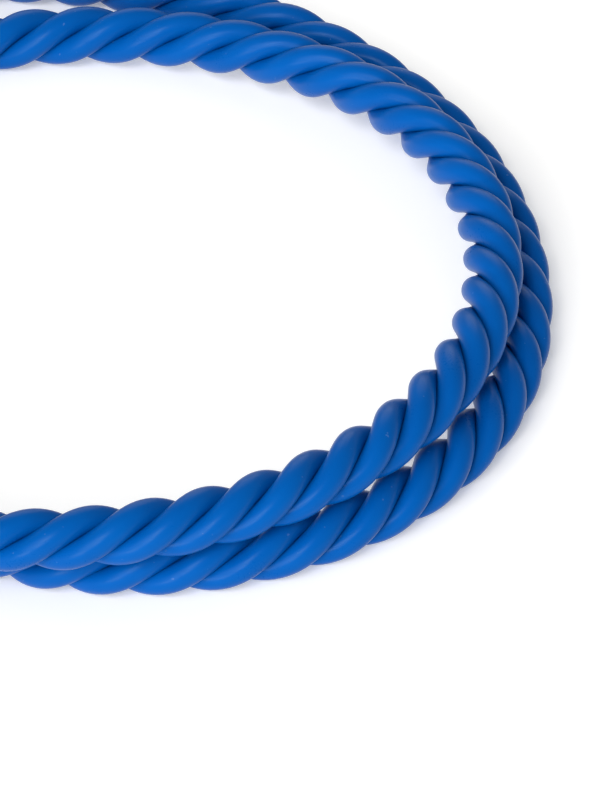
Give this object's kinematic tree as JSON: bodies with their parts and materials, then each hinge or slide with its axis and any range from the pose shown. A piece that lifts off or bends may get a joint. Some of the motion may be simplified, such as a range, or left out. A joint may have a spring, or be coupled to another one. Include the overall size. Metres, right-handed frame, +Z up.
{
  "type": "barrier rope",
  "caption": "Thick three-strand laid barrier rope in a loose coil, with a capped, swivelling snap hook at each end.",
  "frame": {"origin": "centre of the coil's bounding box, on the surface that it lies on", "axes": "+Z up; the front of the coil, seen in the reference view, faces -Y, and its right side is +X"},
  "size_m": [0.4427, 0.45, 0.0505],
  "materials": {
    "rope_rubber": "satin, smooth, saturated blue",
    "chrome": "polished plate",
    "steel": "plain machined",
    "whipping_tape": "matte woven tape"
  },
  "bodies": {
    "rope": {"strand_1": "rope_rubber", "strand_2": "rope_rubber", "strand_3": "rope_rubber", "end_cap_1": "chrome", "end_cap_2": "chrome", "cap_screw_1a": "steel", "cap_screw_1b": "steel", "cap_screw_2a": "steel", "cap_screw_2b": "steel", "end_tape_1": "whipping_tape", "end_tape_2": "whipping_tape", "swivel_washer_1": "steel", "swivel_washer_2": "steel"},
    "hook_1": {"swivel_pin_1": "steel", "hook_body_1": "chrome", "gate_pin_1": "steel", "gate_spring_1": "steel"},
    "hook_2": {"swivel_pin_2": "steel", "hook_body_2": "chrome", "gate_pin_2": "steel", "gate_spring_2": "steel"},
    "gate_1": {"hook_gate_1": "chrome"},
    "gate_2": {"hook_gate_2": "chrome"}
  },
  "joints": [
    {"name": "swivel_1", "type": "hinge", "parent": "rope", "child": "hook_1", "pos_m": [-0.09114, -0.00082, 0.015], "axis": [0.1454, 0.9894, 0], "continuous": true},
    {"name": "swivel_2", "type": "hinge", "parent": "rope", "child": "hook_2", "pos_m": [-0.13808, -0.00145, 0.015], "axis": [-0.142, -0.9899, 0], "continuous": true},
    {"name": "gate_pivot_1", "type": "hinge", "parent": "hook_1", "child": "gate_1", "pos_m": [-0.08954, 0.01006, 0.0245], "axis": [-0.9894, 0.1454, 0], "range_deg": [0, 22], "stiffness_Nm_per_rad": 0.03, "springref_deg": -28.65, "deforming": ["gate_spring_1"]},
    {"name": "gate_pivot_2", "type": "hinge", "parent": "hook_2", "child": "gate_2", "pos_m": [-0.13964, -0.01234, 0.0245], "axis": [0.9899, -0.142, 0], "range_deg": [0, 22], "stiffness_Nm_per_rad": 0.03, "springref_deg": -28.65, "deforming": ["gate_spring_2"]}
  ]
}
